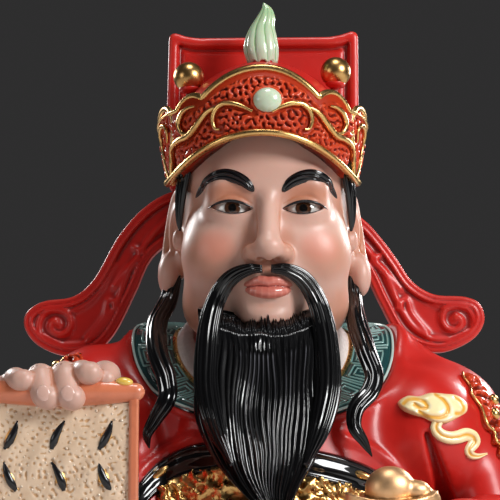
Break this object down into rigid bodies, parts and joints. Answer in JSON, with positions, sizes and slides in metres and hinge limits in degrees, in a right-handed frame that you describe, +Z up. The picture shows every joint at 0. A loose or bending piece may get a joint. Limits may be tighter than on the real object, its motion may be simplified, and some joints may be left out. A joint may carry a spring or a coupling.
{
  "type": "porcelain deity bust",
  "caption": "Glazed porcelain bust of a bearded god of wealth in a winged official's hat, holding a scroll and a gold ingot, cut flat below.",
  "frame": {"origin": "on the flat underside, below the middle of the head", "axes": "+Z up, the face looks along -Y, the viewer's left is -X"},
  "size_m": [0.1853, 0.1298, 0.167],
  "materials": {
    "red_glaze": "glossy saturated red glaze on robe, hat and wings",
    "skin_glaze": "satin pale pink skin with airbrushed warm shading",
    "black_glaze": "glossy black glaze on hair, beard and strap",
    "gold_lustre": "fired gold lustre on edges, balls, curls and ingot",
    "jade_glaze": "celadon green glaze on flame and round stone",
    "collar_glaze": "dark teal glaze with paler fret relief",
    "scroll_glaze": "pebbled cream and gold panel in a salmon orange border"
  },
  "bodies": {
    "root": {"figure": "red_glaze"}
  },
  "joints": []
}
